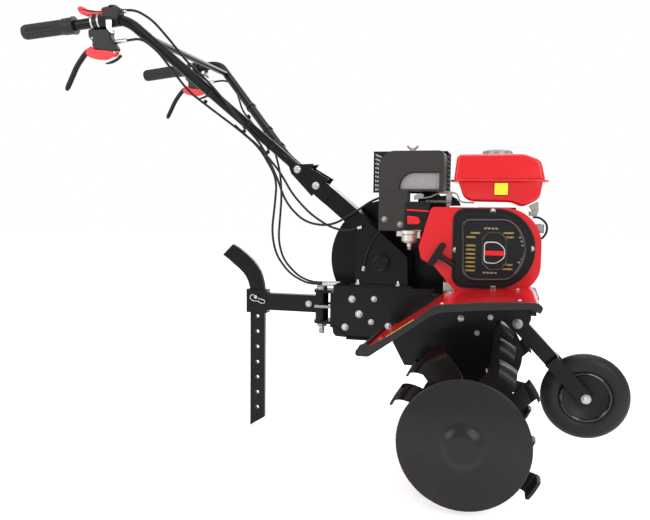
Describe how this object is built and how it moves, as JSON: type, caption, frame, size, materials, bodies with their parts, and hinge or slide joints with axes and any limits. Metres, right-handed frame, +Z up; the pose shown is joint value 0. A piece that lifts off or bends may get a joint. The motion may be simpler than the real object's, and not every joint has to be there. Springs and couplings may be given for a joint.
{
  "type": "rotary tiller",
  "caption": "Walk-behind petrol rotary tiller with a tined reel between side discs, handlebars with clutch levers, a drag bar and a front wheel.",
  "frame": {"origin": "on the ground, at the middle of the machine's length, in its centre plane", "axes": "+X forward towards the front wheel, +Y to the machine's left, +Z up"},
  "size_m": [1.4818, 0.93, 1.0952],
  "materials": {
    "frame_black": "gloss",
    "reel_black": "satin",
    "rubber": "matte",
    "zinc": "satin",
    "red_paint": "gloss",
    "red_plastic": "gloss",
    "black_plastic": "satin",
    "grey_plastic": "satin",
    "engine_black": "satin",
    "cast_metal": "satin",
    "muffler_black": "matte",
    "tyre": "matte",
    "cable_black": "satin"
  },
  "bodies": {
    "machine": {"gear_case": "frame_black", "frame_plate_right": "frame_black", "frame_plate_left": "frame_black", "engine_bed": "frame_black", "column_tube": "frame_black", "column_base": "frame_black", "handle_bracket": "frame_black", "handle_bolts": "zinc", "handlebar_right": "frame_black", "handlebar_left": "frame_black", "handle_crossbar": "frame_black", "grip_right": "rubber", "grip_left": "rubber", "lever_mount_right": "black_plastic", "lever_mount_left": "black_plastic", "clutch_lever_right": "red_plastic", "clutch_lever_left": "red_plastic", "lever_sleeve_right": "black_plastic", "lever_sleeve_left": "black_plastic", "throttle_housing": "black_plastic", "throttle_lever": "red_plastic", "fender_right": "red_paint", "fender_left": "red_paint", "fender_lip_right": "rubber", "fender_lip_left": "rubber", "rear_stay_right": "frame_black", "rear_stay_left": "frame_black", "front_stay": "frame_black", "engine_block": "engine_black", "fan_shroud": "red_paint", "recoil_cover": "black_plastic", "starter_handle": "black_plastic", "fuel_tank": "red_paint", "tank_cap": "red_paint", "air_cleaner": "grey_plastic", "carburettor": "cast_metal", "muffler": "muffler_black", "belt_cover": "frame_black", "front_lugs": "frame_black", "wheel_pivot_bolt": "zinc", "hitch_bracket": "frame_black", "hitch_pin": "zinc", "muffler_guard": "muffler_black", "control_cables": "cable_black", "cable_fittings": "zinc"},
    "reel": {"tine_shaft": "reel_black", "tine_set_right_inner": "reel_black", "tine_set_right_middle": "reel_black", "tine_set_right_outer": "reel_black", "tine_set_left_inner": "reel_black", "tine_set_left_middle": "reel_black", "tine_set_left_outer": "reel_black", "side_disc_right": "reel_black", "side_disc_left": "reel_black"},
    "wheel_arm": {"wheel_arm": "frame_black", "wheel_axle_bolt": "zinc"},
    "front_wheel": {"front_tyre": "tyre", "front_rim": "frame_black"},
    "hitch_arm": {"drag_bar_holder": "frame_black"},
    "drag_bar": {"drag_bar": "frame_black"}
  },
  "joints": [
    {"name": "reel_spin", "type": "hinge", "parent": "machine", "child": "reel", "pos_m": [0.35975, 0, 0.15143], "axis": [0, 1, 0], "continuous": true},
    {"name": "wheel_arm_pivot", "type": "hinge", "parent": "machine", "child": "wheel_arm", "pos_m": [0.46575, 0, 0.33143], "axis": [0, -1, 0], "range_deg": [-20, 55]},
    {"name": "front_wheel_spin", "type": "hinge", "parent": "wheel_arm", "child": "front_wheel", "pos_m": [0.63325, 0, 0.15443], "axis": [0, 1, 0], "continuous": true},
    {"name": "hitch_swivel", "type": "hinge", "parent": "machine", "child": "hitch_arm", "pos_m": [-0.04825, 0, 0.35443], "axis": [0, 0, 1], "range_deg": [-20, 20]},
    {"name": "drag_bar_slide", "type": "slide", "parent": "hitch_arm", "child": "drag_bar", "axis": [0, 0, 1], "range_m": [0, 0.287]}
  ]
}
